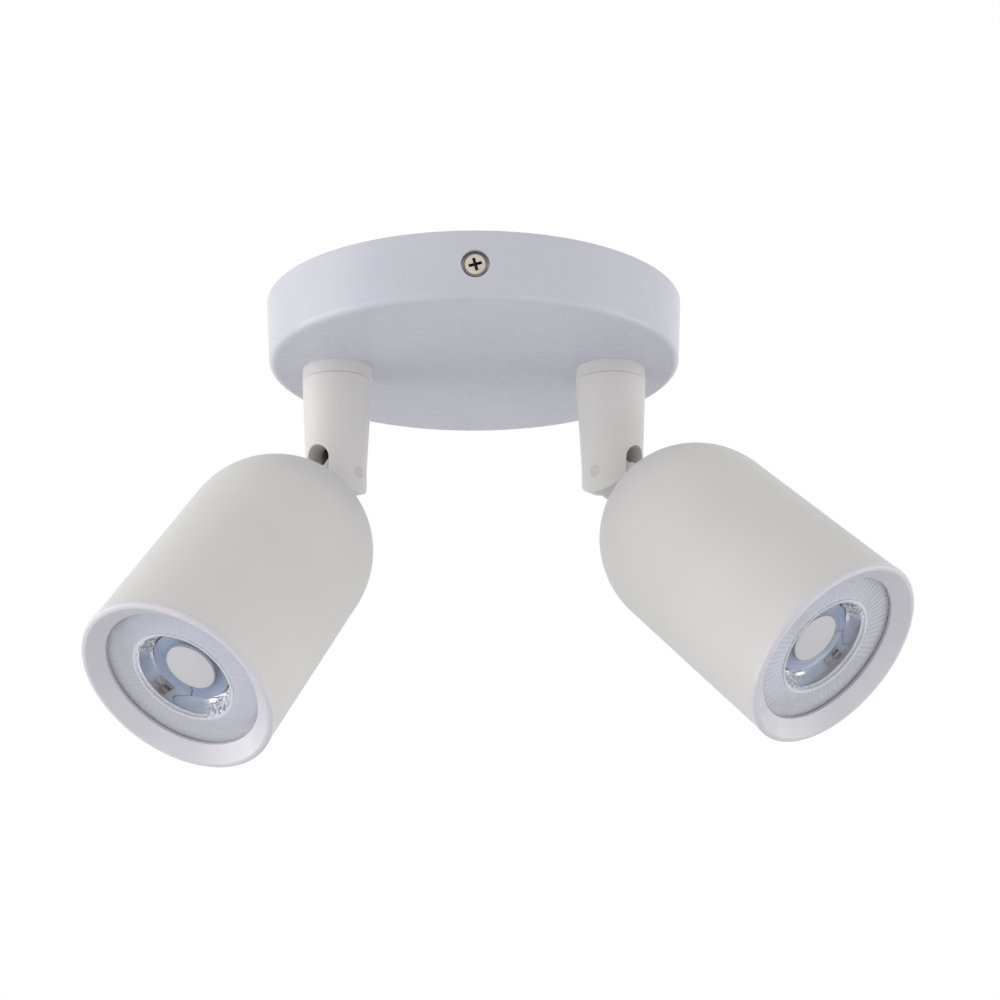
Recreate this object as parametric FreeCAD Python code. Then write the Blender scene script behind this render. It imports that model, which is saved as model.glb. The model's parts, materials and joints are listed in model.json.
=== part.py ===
import FreeCAD, Part

import math
import os

from FreeCAD import Placement, Rotation, Vector

# Two-head pivoting spotlight: a round canopy, two swivel arms and two bullet-shaped heads.
# Units are millimetres and degrees. +Z is up. The origin is the centre of the mounting plane, so the
# whole fitting hangs below z = 0. +X is to the right for someone in front of it, who looks along +Y.

# ---- canopy and mounting strap ----
canopy_radius = 60.0
canopy_taper = 0.9
canopy_depth = 19.0
canopy_wall = 1.2
canopy_edge_radius = 2.0
cover_screw_drop = 9.3
cover_screw_hole_gap = 0.6
cover_screw_head_radius = 3.3
cover_screw_head_height = 1.7
cover_screw_radius = 2.0
cover_screw_length = 9.0
cover_screw_turn = 15.0
strap_width = 18.0
strap_thickness = 1.5
strap_ear_width = 12.0
strap_ear_below_screw = 4.7
strap_ear_clearance = 0.9
ceiling_slot_spacing = 66.0
ceiling_slot_length = 14.0
ceiling_slot_radius = 2.25

# ---- terminal block and earth ----
pole_pitch = 8.0
pole_count = 3
block_length = 17.0
block_height = 11.0
block_end_wall = 1.0
block_groove_width = 1.4
block_groove_depth = 2.0
terminal_tube_wall = 0.7
terminal_bore_gap = 0.05
terminal_tube_inset = 1.0
terminal_screw_radius = 1.25
terminal_screw_head_radius = 1.6
terminal_screw_head_height = 1.6
terminal_screw_inset = 4.0
terminal_screw_recess = 1.0
screw_head_gap = 0.2
block_screw_radius = 1.25
block_screw_head_radius = 2.0
block_screw_head_height = 1.5
screw_end_margin = 0.2
earth_screw_from_block = 10.0
earth_screw_radius = 2.0
earth_screw_head_radius = 3.5
earth_screw_head_height = 2.2
earth_lug_thickness = 0.8
earth_lug_radius = 3.6
earth_barrel_radius = 1.5
earth_barrel_length = 6.0
earth_wire_radius = 0.95
earth_wire_bend = 2.2
earth_wire_reach = 6.5

# ---- collar, swivel and arm ----
arm_spacing = 79.0
collar_height = 3.5
swivel_gap = 0.05
arm_top_radius = 10.0
arm_end_radius = 8.75
arm_edge_chamfer = 0.3
arm_edge_rounding = 0.3
arm_bore_radius = 4.0
arm_reach = 28.95
lobe_rise = 2.5
swivel_tube_radius = 5.0
swivel_bore_radius = 3.2
swivel_tube_in_arm = 8.0
running_gap = 0.05
canopy_arm_hole_gap = 0.35
washer_radius = 9.0
washer_thickness = 0.8
swivel_nut_across_flats = 16.0
swivel_nut_height = 3.0
swivel_tube_above_nut = 0.8
slot_width = 7.8
slot_arch_overlap = 0.9
slot_top_gap = 0.5
slot_back_gap = 1.6

# ---- tongue of the head and pivot pin ----
tongue_side_gap = 0.2
tongue_root_rounding = 0.6
knuckle_radius = 4.8
knuckle_chamfer = 0.4
pin_radius = 1.75
pin_inset = 0.07
channel_wall = 1.1
channel_open_length = 3.5
channel_gap = 0.2
wire_rise = 1.7
head_axis_offset = 1.8

# ---- head, by distance from the pivot along its axis ----
head_start = 9.1
dome_depth = 27.6
head_flare = 1.0
head_wall = 1.6
bezel_overhang = 0.2
bezel_height = 1.6
bezel_edge_radius = 0.9
bezel_lap = 2.3
bezel_flat = 0.6
bezel_slope_depth = 3.2
bezel_lip = 0.8
bezel_skirt_length = 6.0
bezel_skirt_wall = 1.0
bezel_skirt_gap = 0.2

# ---- lamp, by depth behind its front face ----
lamp_gap = 0.1
lamp_side_gap = 0.4
lamp_radius = 24.8
lamp_wall = 1.1
lamp_rim_depth = 4.0
lamp_waist_inset = 4.3
lamp_waist_depth = 18.0
lamp_neck_radius = 15.0
lamp_neck_depth = 34.0
lamp_flange_height = 1.5
lamp_cap_radius = 13.6
lamp_cap_end_radius = 12.4
lamp_length = 52.0
lamp_cap_floor = 8.0
lamp_pin_spacing = 10.0
lamp_pin_radius = 2.0
lamp_pin_root = 4.0
lamp_pin_stem = 3.2
lamp_pin_head_radius = 2.5
lamp_pin_head_height = 2.4
lens_ledge = 0.3
lens_thickness = 1.2
lens_seat_gap = 0.05
lens_rim_radius = 15.0
lens_rim_width = 1.0
lens_floor_radius = 11.5
lens_floor_depth = 4.0
disc_radius = 6.5
disc_thickness = 1.8
disc_crown = 0.5
board_inset = 3.8
board_depth = 6.2
board_thickness = 1.2
chip_radius = 4.0
chip_height = 0.6
driver_radius = 12.0
driver_wall = 1.0
small_part_length = 3.0
small_part_width = 2.4
small_part_height = 0.8
small_part_gap = 0.35
small_part_inset = 4.0

# ---- lampholder ----
holder_space = 12.7
holder_gap = 0.2
holder_radius = 13.0
holder_height = 16.0
holder_edge_chamfer = 0.8
holder_pocket_radius = 2.9
holder_pocket_depth = 7.0
holder_wire_hole_radius = 1.1
holder_screw_offset = 9.0
holder_screw_radius = 1.5
holder_screw_in_boss = 6.0
holder_screw_head_radius = 2.7
holder_screw_head_height = 2.0
boss_radius = 3.2

# ---- wires ----
wire_radius = 0.8
wire_spread = 0.85
sleeve_wall = 0.25
sleeve_end_rise = 15.0
tilt_wire_end = 7.0
tilt_wire_bend = 8.0
head_wire_straight_end = 15.0
head_wire_turn_end = 19.0
head_wire_in_holder = 4.0
head_wire_bend = 2.5
sleeve_meeting_rise = 3.0
canopy_lead_bend = 4.0
canopy_lead_inset = 7.5
canopy_lead_from_block = 10.5
canopy_lead_past_block = 3.0
port_wire_end = 3.5

# ---- pose in the photograph: pan from straight ahead, tilt from straight down ----
right_pan = 52.0
left_pan = -39.5
right_tilt = 47.5
left_tilt = 39.5
right_small_parts_turn = 104.0
left_small_parts_turn = -108.0

# ---- drawing values ----
cut_margin = 1.0
touching = 1e-5
screw_crown_share = 0.3
cross_width_share = 0.26
cross_length_share = 1.12
cross_depth_share = 0.6
disc_middle_share = 0.75

os.makedirs("parts", exist_ok=True)
ORIGIN = Vector(0, 0, 0)
ALONG_X = Vector(1, 0, 0)
ALONG_Y = Vector(0, 1, 0)
ALONG_Z = Vector(0, 0, 1)
SIDES = {"left": -1, "right": 1}

# ---- places that several pieces share ----
canopy_face_radius = canopy_radius - canopy_taper
face_level = -canopy_depth
inner_face_level = face_level + canopy_wall
collar_end = face_level - collar_height
arm_top = collar_end - swivel_gap
pivot_level = arm_top - arm_reach
washer_top = inner_face_level + washer_thickness
nut_low = washer_top + swivel_gap
nut_high = nut_low + swivel_nut_height
swivel_tube_top = nut_high + swivel_tube_above_nut
ear_low = -cover_screw_drop - strap_ear_below_screw
ear_face = canopy_radius + canopy_taper / canopy_depth * ear_low - canopy_wall - strap_ear_clearance
sleeve_radius = wire_spread + wire_radius + sleeve_wall
sleeve_meeting = face_level + sleeve_meeting_rise

block_bottom = -strap_thickness - block_height
block_half_length = block_length / 2
block_half_width = pole_count * pole_pitch / 2 + block_end_wall
tube_level = -strap_thickness - block_height / 2
terminal_bore_radius = wire_spread + wire_radius + terminal_bore_gap
terminal_tube_radius = terminal_bore_radius + terminal_tube_wall
pole_places = [(index - (pole_count - 1) / 2) * pole_pitch for index in range(pole_count)]
block_screw_place = pole_pitch / 2
terminal_screw_rows = (terminal_screw_inset - block_half_length, block_half_length - terminal_screw_inset)
terminal_screw_places = [(x, y) for x in pole_places for y in terminal_screw_rows]
earth_screw_place = block_half_length + earth_screw_from_block
barrel_level = -strap_thickness - earth_barrel_radius

channel_floor = pin_radius + channel_wall
wire_offset = channel_floor + wire_rise
channel_width = 2 * (wire_spread + wire_radius + channel_gap)
slot_rise = knuckle_radius + slot_width / 2 - slot_arch_overlap
slot_back = knuckle_radius + slot_back_gap
tongue_width = slot_width - 2 * tongue_side_gap
tongue_top = slot_rise - slot_top_gap
tongue_bottom = 2 * head_axis_offset - tongue_top

holder_back = head_start + holder_space
holder_front = holder_back + holder_height
cap_end = holder_front + holder_gap
lens_front = cap_end + lamp_length
bezel_seat = lens_front + lamp_gap
bezel_front = bezel_seat + bezel_lip + bezel_slope_depth
head_seam = bezel_front - bezel_height
skirt_start = head_seam - bezel_skirt_length
skirt_radius = lamp_radius + lamp_side_gap + bezel_skirt_wall
head_front_radius = skirt_radius + bezel_skirt_gap + head_wall
head_back_radius = head_front_radius - head_flare
bezel_radius = head_front_radius + bezel_overhang
dome_end = head_start + dome_depth
board_radius = lamp_radius - board_inset
driver_end = lamp_length - lamp_cap_floor
pin_places = [(head_axis_offset, -lamp_pin_spacing / 2), (head_axis_offset, lamp_pin_spacing / 2)]
boss_places = [head_axis_offset - holder_screw_offset, head_axis_offset + holder_screw_offset]


# ---- helpers ----
def save(node, *shapes):
    """Write one node; several separate solids go into one file as a group."""
    shape = shapes[0] if len(shapes) == 1 else Part.makeCompound(list(shapes))
    shape.exportStep(f"parts/{node}.step")
    print(f"{node}: {len(shape.Solids)} solid(s), {shape.Volume:.1f} mm3, valid {shape.isValid()}")


def cylinder(radius, start, end):
    """A solid cylinder from one point to another."""
    axis = end - start
    return Part.makeCylinder(radius, axis.Length, start, axis)


def upright(radius, low, high, x=0, y=0):
    """A solid cylinder along Z."""
    return Part.makeCylinder(radius, high - low, Vector(x, y, low))


def box(x_low, x_high, y_low, y_high, z_low, z_high):
    """A box between two corners."""
    return Part.makeBox(x_high - x_low, y_high - y_low, z_high - z_low, Vector(x_low, y_low, z_low))


def turned(points):
    """A solid of revolution about Z from an outline of (radius, height) points."""
    outline = [Vector(radius, 0, height) for radius, height in points]
    return Part.Face(Part.makePolygon(outline + outline[:1])).revolve(ORIGIN, ALONG_Z, 360)


def line(start, end):
    """A straight edge between two (radius, height) points."""
    return Part.LineSegment(Vector(start[0], 0, start[1]), Vector(end[0], 0, end[1])).toShape()


def arc(start, middle, end):
    """A round edge through three (radius, height) points."""
    points = [Vector(radius, 0, height) for radius, height in (start, middle, end)]
    return Part.Arc(*points).toShape()


def quarter_ellipse(pole, side):
    """A quarter of an ellipse from a point on the axis to the point where its side runs along Z."""
    curve = Part.BezierCurve()
    curve.setPoles([Vector(pole[0], 0, pole[1]), Vector(side[0], 0, pole[1]), Vector(side[0], 0, side[1])])
    curve.setWeight(2, math.sqrt(0.5))
    return curve.toShape()


def turned_edges(edges):
    """A solid of revolution about Z from joined edges that close a flat outline."""
    return Part.Face(Part.Wire(edges)).revolve(ORIGIN, ALONG_Z, 360)


def face_edges(shape, level):
    """The edges of a turned shape that are circles about Z at one height."""
    circles = [edge for edge in shape.Edges if isinstance(edge.Curve, Part.Circle)]
    return [edge for edge in circles if abs(edge.Curve.Center.z - level) < touching]


def meeting_edges(shape, first, second):
    """The edges of a shape along which the surfaces of two solids meet."""
    edges = []
    for edge in shape.Edges:
        if edge.Degenerated:
            continue
        middle = Part.Vertex(edge.valueAt((edge.FirstParameter + edge.LastParameter) / 2))
        gaps = [solid.Shells[0].distToShape(middle)[0] for solid in (first, second)]
        if max(gaps) < touching:
            edges.append(edge)
    return edges


def route(points, bend):
    """A path of straight runs through points, with a tangent arc of one radius at each turn."""
    edges = []
    start = points[0]
    for before, corner, after in zip(points, points[1:], points[2:]):
        back = (before - corner).normalize()
        ahead = (after - corner).normalize()
        half_turn = (math.pi - back.getAngle(ahead)) / 2
        tangent = bend * math.tan(half_turn)
        inward = (back + ahead).normalize()
        middle = corner + inward * (bend / math.cos(half_turn) - bend)
        arc_start = corner + back * tangent
        arc_end = corner + ahead * tangent
        edges.append(Part.LineSegment(start, arc_start).toShape())
        edges.append(Part.Arc(arc_start, middle, arc_end).toShape())
        start = arc_end
    edges.append(Part.LineSegment(start, points[-1]).toShape())
    return Part.Wire(edges)


def wire_along(points, radius, bend):
    """A round wire along a route; its volume is compared with its section times its length."""
    path = route(points, bend)
    section = Part.Wire([Part.Circle(points[0], points[1] - points[0], radius).toShape()])
    solid = path.makePipeShell([section], True, False)
    ratio = solid.Volume / (math.pi * radius**2 * path.Length)
    print(f"  wire {path.Length:.1f} mm long, bend {bend} mm, volume ratio {ratio:.4f}")
    return solid


def hexagon(across_flats, low, high):
    """A hexagonal prism about Z."""
    corner = across_flats / math.sqrt(3)
    angles = [math.radians(60 * step) for step in range(7)]
    outline = [Vector(corner * math.cos(angle), corner * math.sin(angle), low) for angle in angles]
    return Part.Face(Part.makePolygon(outline)).extrude(Vector(0, 0, high - low))


def screw(head_radius, head_height, shank_radius, shank_length):
    """A pan-head screw with a cross recess: its face is at z = 0 and its shank points down."""
    crown = head_height * screw_crown_share
    head = turned([(0, 0), (head_radius - crown, 0), (head_radius, -crown), (head_radius, -head_height),
                   (0, -head_height)])
    body = head.fuse(upright(shank_radius, -head_height - shank_length, -head_height))
    half_width = head_radius * cross_width_share / 2
    half_length = head_radius * cross_length_share / 2
    depth = head_height * cross_depth_share
    for half_x, half_y in ((half_length, half_width), (half_width, half_length)):
        body = body.cut(box(-half_x, half_x, -half_y, half_y, -depth, cut_margin))
    return body


def placed(shape, placement):
    """A copy of a shape, moved from a frame of its own."""
    copy = shape.copy()
    copy.Placement = placement.multiply(copy.Placement)
    return copy


def arm_frame(side):
    """Where an arm's own frame lies: its origin is the pivot, and the head leans towards its +X."""
    pan = right_pan if side > 0 else left_pan
    return Placement(Vector(side * arm_spacing / 2, 0, pivot_level), Rotation(ALONG_Z, pan - 90))


def head_frame(side):
    """Where a head's own frame lies: its origin is the pivot, and the head points along its -Z."""
    tilt = right_tilt if side > 0 else left_tilt
    return arm_frame(side).multiply(Placement(ORIGIN, Rotation(ALONG_Y, -tilt)))


def about_head_axis(shape):
    """Move a piece that is turned about Z to the head's axis, which passes beside the pivot."""
    return shape.translated(Vector(head_axis_offset, 0, 0))


def along_head(points):
    """A solid of revolution about the head's axis from (radius, distance from the pivot) points."""
    return about_head_axis(turned([(radius, -distance) for radius, distance in points]))


def in_lamp(points):
    """A solid of revolution about the head's axis from (radius, depth behind the lamp's front) points."""
    return along_head([(radius, lens_front - depth) for radius, depth in points])


# ---- canopy, strap and cover screws ----
def canopy_cover():
    """A drawn cup, open at the top, with a hole for each arm and each cover screw."""
    outer = turned([(0, 0), (canopy_radius, 0), (canopy_face_radius, face_level), (0, face_level)])
    outer = outer.makeFillet(canopy_edge_radius, face_edges(outer, face_level))
    inner_rim = canopy_radius - canopy_wall
    inner_face = canopy_face_radius - canopy_wall
    inner = turned([(0, 0), (inner_rim, 0), (inner_face, inner_face_level), (0, inner_face_level)])
    inner_rounding = canopy_edge_radius - canopy_wall
    inner = inner.makeFillet(inner_rounding, face_edges(inner, inner_face_level))
    cover = outer.cut(inner)
    arm_hole_radius = swivel_tube_radius + canopy_arm_hole_gap
    screw_hole_radius = cover_screw_head_radius + cover_screw_hole_gap
    for side in SIDES.values():
        cover = cover.cut(upright(arm_hole_radius, face_level, inner_face_level, side * arm_spacing / 2))
        inside = Vector(0, side * ear_face, -cover_screw_drop)
        outside = Vector(0, side * (canopy_radius + cut_margin), -cover_screw_drop)
        cover = cover.cut(cylinder(screw_hole_radius, inside, outside))
    return cover


def ceiling_slot(place):
    """The tool for one slot that runs along Y."""
    reach = ceiling_slot_length / 2 - ceiling_slot_radius
    low = -strap_thickness
    high = 0
    tool = box(-ceiling_slot_radius, ceiling_slot_radius, place - reach, place + reach, low, high)
    for end in (-reach, reach):
        tool = tool.fuse(upright(ceiling_slot_radius, low, high, 0, place + end))
    return tool


def mounting_strap():
    """A flat bar on the ceiling with an ear bent down at each end for a cover screw."""
    strap = box(-strap_width / 2, strap_width / 2, -ear_face, ear_face, -strap_thickness, 0)
    for side in SIDES.values():
        near, far = sorted((side * (ear_face - strap_thickness), side * ear_face))
        strap = strap.fuse(box(-strap_ear_width / 2, strap_ear_width / 2, near, far, ear_low, 0))
    strap = strap.removeSplitter()
    for side in SIDES.values():
        inside = Vector(0, side * (ear_face - strap_thickness), -cover_screw_drop)
        outside = Vector(0, side * ear_face, -cover_screw_drop)
        strap = strap.cut(cylinder(cover_screw_radius, inside, outside))
        strap = strap.cut(ceiling_slot(side * ceiling_slot_spacing / 2))
    strap = strap.cut(upright(earth_screw_radius, -strap_thickness, 0, 0, -earth_screw_place))
    return strap.cut(upright(block_screw_radius, -strap_thickness, 0, block_screw_place))


def cover_screws():
    """The two screws in the ears, whose heads stand in the holes of the canopy's wall."""
    screws = []
    for side in SIDES.values():
        piece = screw(cover_screw_head_radius, cover_screw_head_height,
                      cover_screw_radius, cover_screw_length)
        piece.rotate(ORIGIN, ALONG_Z, cover_screw_turn)
        piece.rotate(ORIGIN, ALONG_X, -side * 90)
        piece.translate(Vector(0, side * (ear_face + cover_screw_head_height), -cover_screw_drop))
        screws.append(piece)
    return screws


# ---- terminal block and earth ----
def terminal_block():
    """A moulded block under the strap with a tube along Y for each pole and screw holes from below."""
    block = box(-block_half_width, block_half_width, -block_half_length, block_half_length,
                block_bottom, -strap_thickness)
    for x in pole_places:
        start = Vector(x, -block_half_length, tube_level)
        end = Vector(x, block_half_length, tube_level)
        block = block.cut(cylinder(terminal_tube_radius, start, end))
    for x, y in terminal_screw_places:
        hole_radius = terminal_screw_head_radius + screw_head_gap
        block = block.cut(upright(hole_radius, block_bottom, tube_level, x, y))
    for x in pole_places[1:]:
        middle = x - pole_pitch / 2
        for side in SIDES.values():
            near, far = sorted((side * (block_half_length - block_groove_depth), side * block_half_length))
            groove = box(middle - block_groove_width / 2, middle + block_groove_width / 2, near, far,
                         block_bottom, -strap_thickness)
            block = block.cut(groove)
    head_hole = upright(block_screw_head_radius + screw_head_gap, block_bottom,
                        block_bottom + block_screw_head_height, block_screw_place)
    shank_hole = upright(block_screw_radius, block_bottom, -strap_thickness, block_screw_place)
    return block.cut(head_hole).cut(shank_hole)


def terminal_tubes():
    """A brass tube for each pole, with a threaded hole for each of its screws."""
    half_length = block_half_length - terminal_tube_inset
    tubes = []
    for x in pole_places:
        start = Vector(x, -half_length, tube_level)
        end = Vector(x, half_length, tube_level)
        tube = cylinder(terminal_tube_radius, start, end).cut(cylinder(terminal_bore_radius, start, end))
        for y in terminal_screw_rows:
            tube = tube.cut(upright(terminal_screw_radius, block_bottom, tube_level, x, y))
        tubes.append(tube)
    return tubes


def terminal_screws():
    """Two small screws under each pole; each one stops at the wires in its tube."""
    face = block_bottom + terminal_screw_recess
    shank_end = tube_level - terminal_bore_radius
    shank_length = shank_end - face - terminal_screw_head_height
    screws = []
    for x, y in terminal_screw_places:
        piece = screw(terminal_screw_head_radius, terminal_screw_head_height,
                      terminal_screw_radius, shank_length)
        piece.rotate(ORIGIN, ALONG_X, 180)
        piece.translate(Vector(x, y, face))
        screws.append(piece)
    return screws


def block_screw():
    """The screw that holds the terminal block to the strap."""
    shank_length = block_height - block_screw_head_height + strap_thickness - screw_end_margin
    piece = screw(block_screw_head_radius, block_screw_head_height, block_screw_radius, shank_length)
    piece.rotate(ORIGIN, ALONG_X, 180)
    return piece.translated(Vector(block_screw_place, 0, block_bottom))


def earth_screw():
    """The screw that clamps the earth lug under the strap."""
    shank_length = earth_lug_thickness + strap_thickness - screw_end_margin
    piece = screw(earth_screw_head_radius, earth_screw_head_height, earth_screw_radius, shank_length)
    piece.rotate(ORIGIN, ALONG_X, 180)
    head_face = -strap_thickness - earth_lug_thickness - earth_screw_head_height
    return piece.translated(Vector(0, -earth_screw_place, head_face))


def earth_lug():
    """A ring lug with a crimped barrel that points towards +X."""
    high = -strap_thickness
    low = high - earth_lug_thickness
    barrel_start = Vector(earth_lug_radius, -earth_screw_place, barrel_level)
    barrel_end = barrel_start + ALONG_X * earth_barrel_length
    wire_end = barrel_start + ALONG_X * (earth_barrel_length / 2)
    plate = upright(earth_lug_radius, low, high, 0, -earth_screw_place)
    neck = box(0, earth_lug_radius + earth_lug_thickness, -earth_screw_place - earth_barrel_radius,
               -earth_screw_place + earth_barrel_radius, low, high)
    lug = plate.fuse(neck).fuse(cylinder(earth_barrel_radius, barrel_start, barrel_end))
    lug = lug.cut(upright(earth_screw_radius, low, high, 0, -earth_screw_place))
    return lug.cut(cylinder(earth_wire_radius, wire_end, barrel_end))


def earth_wire():
    """The wire from the lug's barrel round to the front port of the earth pole."""
    pole = pole_places[-1]
    barrel_x = earth_lug_radius + earth_barrel_length / 2
    far_x = earth_lug_radius + earth_barrel_length + earth_wire_reach
    turn_y = -block_half_length - earth_wire_reach
    points = [
        Vector(barrel_x, -earth_screw_place, barrel_level),
        Vector(far_x, -earth_screw_place, barrel_level),
        Vector(far_x, turn_y, tube_level),
        Vector(pole, turn_y, tube_level),
        Vector(pole, port_wire_end - block_half_length, tube_level),
    ]
    return wire_along(points, earth_wire_radius, earth_wire_bend)


# ---- leads in the canopy: a sleeve from each arm, then two wires to the rear ports ----
def lead_level(side):
    """The two leads run at different heights, so that two wires share a port one above the other."""
    return tube_level - side * wire_spread


def lead_lane():
    """How far behind the block the leads turn towards it."""
    return block_half_length + canopy_lead_from_block


def canopy_lead(side):
    """A sleeve from inside the swivel tube up and round to the rear of the terminal block."""
    level = lead_level(side)
    arm_x = arm_spacing / 2
    points = [
        Vector(side * arm_x, 0, sleeve_meeting),
        Vector(side * arm_x, 0, level),
        Vector(side * (arm_x - canopy_lead_inset), lead_lane(), level),
        Vector(side * (block_half_width + canopy_lead_past_block), lead_lane(), level),
    ]
    return wire_along(points, sleeve_radius, canopy_lead_bend)


def port_wire(side, pole):
    """One wire from the end of a sleeve to a rear port; the wire to the further pole lies outside."""
    level = lead_level(side)
    sleeve_end = side * (block_half_width + canopy_lead_past_block)
    further = max(pole_places[:2], key=lambda place: abs(place - sleeve_end))
    lane = lead_lane() + (wire_spread if pole == further else -wire_spread)
    points = [
        Vector(sleeve_end, lane, level),
        Vector(pole, lane, level),
        Vector(pole, block_half_length - port_wire_end, level),
    ]
    return wire_along(points, wire_radius, canopy_lead_bend)


# ---- swivel: collar, tube, washer and nut of one arm ----
def collar(side):
    """The ring between the canopy and the arm; the swivel tube turns in it."""
    edge = arm_edge_chamfer
    ring = turned([
        (swivel_tube_radius + running_gap, face_level),
        (arm_top_radius, face_level),
        (arm_top_radius, collar_end + edge),
        (arm_top_radius - edge, collar_end),
        (swivel_tube_radius + running_gap, collar_end),
    ])
    return ring.translated(Vector(side * arm_spacing / 2, 0, 0))


def swivel_tube(side):
    """The threaded tube that is screwed into the arm and passes through the canopy."""
    x = side * arm_spacing / 2
    low = arm_top - swivel_tube_in_arm
    tube = upright(swivel_tube_radius, low, swivel_tube_top, x)
    return tube.cut(upright(swivel_bore_radius, low, swivel_tube_top, x))


def swivel_washer(side):
    """The washer on the canopy's inner face, under the nut."""
    x = side * arm_spacing / 2
    washer = upright(washer_radius, inner_face_level, washer_top, x)
    return washer.cut(upright(swivel_tube_radius + canopy_arm_hole_gap, inner_face_level, washer_top, x))


def swivel_nut(side):
    """The nut at the top of the tube, which carries the arm's weight and turns with it."""
    nut = hexagon(swivel_nut_across_flats, nut_low, nut_high)
    nut = nut.cut(upright(swivel_tube_radius, nut_low, nut_high))
    return nut.translated(Vector(side * arm_spacing / 2, 0, 0))


# ---- arm and pivot pin, in the arm's own frame ----
def arm():
    """A tapered stem whose lower end is rounded about a line across the slot and slotted for the tongue."""
    edge = arm_edge_chamfer
    low = lobe_rise - arm_end_radius
    reach = 2 * arm_top_radius
    stem = turned([
        (0, arm_reach), (arm_top_radius - edge, arm_reach), (arm_top_radius, arm_reach - edge),
        (arm_end_radius, lobe_rise), (arm_end_radius, low), (0, low),
    ])
    lobe = cylinder(arm_end_radius, Vector(0, -reach, lobe_rise), Vector(0, reach, lobe_rise))
    above = box(-reach, reach, -reach, reach, lobe_rise, arm_reach)
    outer = stem.common(above.fuse(lobe))
    arch_level = slot_rise - slot_width / 2
    arch = cylinder(slot_width / 2, Vector(-slot_back, 0, arch_level), Vector(reach, 0, arch_level))
    slot = box(-slot_back, reach, -slot_width / 2, slot_width / 2, low, arch_level).fuse(arch)
    body = outer.cut(slot)
    rounded = meeting_edges(body, outer, slot) + meeting_edges(body, stem, lobe)
    body = body.makeFillet(arm_edge_rounding, rounded)
    body = body.cut(upright(arm_bore_radius, arch_level, arm_reach))
    body = body.cut(upright(swivel_tube_radius, arm_reach - swivel_tube_in_arm, arm_reach))
    return body.cut(cylinder(pin_radius, Vector(0, -reach, 0), Vector(0, reach, 0)))


def pivot_pin():
    """A pin across the slot; its ends follow the round of the arm, just below its surface."""
    across = Vector(0, 2 * arm_top_radius, 0)
    keep = upright(arm_end_radius - pin_inset, -arm_top_radius, arm_top_radius)
    return cylinder(pin_radius, -across, across).common(keep)


def arm_lead():
    """The sleeve in the arm, on the swivel axis, so that it meets the canopy's sleeve at any turn."""
    return upright(sleeve_radius, sleeve_end_rise, sleeve_meeting - swivel_gap - pivot_level)


def tilt_wires(tilt):
    """Two wires from the sleeve's end over the pin and into the tongue, at this tilt."""
    lean = math.radians(tilt)
    wires = []
    for across in (-wire_spread, wire_spread):
        points = [
            Vector(0, across, sleeve_end_rise),
            Vector(0, across, wire_offset / math.sin(lean)),
            Vector(tilt_wire_end * math.sin(lean) + wire_offset * math.cos(lean), across,
                   wire_offset * math.sin(lean) - tilt_wire_end * math.cos(lean)),
        ]
        wires.append(wire_along(points, wire_radius, tilt_wire_bend))
    return wires


# ---- head housing and bezel, in the head's own frame ----
def tongue():
    """A flat bar with round edges and a round end about the pivot."""
    half = tongue_width / 2
    low = tongue_bottom + half
    high = tongue_top - half
    bar = box(low, high, -half, half, -dome_end, 0)
    bar = bar.fuse(upright(half, -dome_end, 0, low)).fuse(upright(half, -dome_end, 0, high))
    knuckle = upright(knuckle_radius, -half, half)
    knuckle = knuckle.makeChamfer(knuckle_chamfer, face_edges(knuckle, -half) + face_edges(knuckle, half))
    knuckle.rotate(ORIGIN, ALONG_X, 90)
    return bar.fuse(knuckle).removeSplitter()


def dome_and_cone(wall):
    """The head's solid form as far as its seam, inset by a wall from the outer surface."""
    apex = (0, -head_start - wall)
    shoulder = (head_back_radius - wall, -dome_end)
    rim = (head_front_radius - wall, -head_seam)
    centre = (0, -head_seam)
    edges = [quarter_ellipse(apex, shoulder), line(shoulder, rim), line(rim, centre), line(centre, apex)]
    return about_head_axis(turned_edges(edges))


def housing():
    """A domed shell with a tongue for the pivot, a wire passage and two bosses for the lampholder."""
    outer = dome_and_cone(0)
    bar = tongue()
    shell = outer.fuse(bar)
    shell = shell.makeFillet(tongue_root_rounding, meeting_edges(shell, outer, bar))
    shell = shell.cut(dome_and_cone(head_wall))
    boss_hole_end = -holder_back + holder_screw_in_boss
    for x in boss_places:
        boss = upright(boss_radius, -holder_back, -head_start, x).common(outer)
        shell = shell.fuse(boss)
        shell = shell.cut(upright(holder_screw_radius, -holder_back, boss_hole_end, x))
    channel = box(channel_floor, 2 * wire_offset, -channel_width / 2, channel_width / 2,
                  -channel_open_length, 2 * knuckle_radius)
    passage = upright(channel_width / 2, -head_start - 2 * head_wall, 0, wire_offset)
    pin_bore = cylinder(pin_radius + running_gap, Vector(0, -tongue_width, 0), Vector(0, tongue_width, 0))
    return shell.cut(channel).cut(passage).cut(pin_bore)


def bezel():
    """The front ring: a rounded edge, a slope down to the lamp and a skirt inside the housing."""
    skirt_inner = skirt_radius - bezel_skirt_wall
    opening = lamp_radius - bezel_lap
    corner = bezel_radius - bezel_edge_radius
    corner_level = bezel_edge_radius - bezel_front
    diagonal = bezel_edge_radius * math.sqrt(0.5)
    slope_end = bezel_seat + bezel_lip
    outline = [
        (corner, -bezel_front), (corner - bezel_flat, -bezel_front), (opening, -slope_end),
        (opening, -bezel_seat), (skirt_inner, -bezel_seat), (skirt_inner, -skirt_start),
        (skirt_radius, -skirt_start), (skirt_radius, -head_seam), (bezel_radius, -head_seam),
        (bezel_radius, corner_level),
    ]
    edges = [line(start, end) for start, end in zip(outline, outline[1:])]
    edges.append(arc(outline[-1], (corner + diagonal, corner_level - diagonal), outline[0]))
    return about_head_axis(turned_edges(edges))


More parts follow.
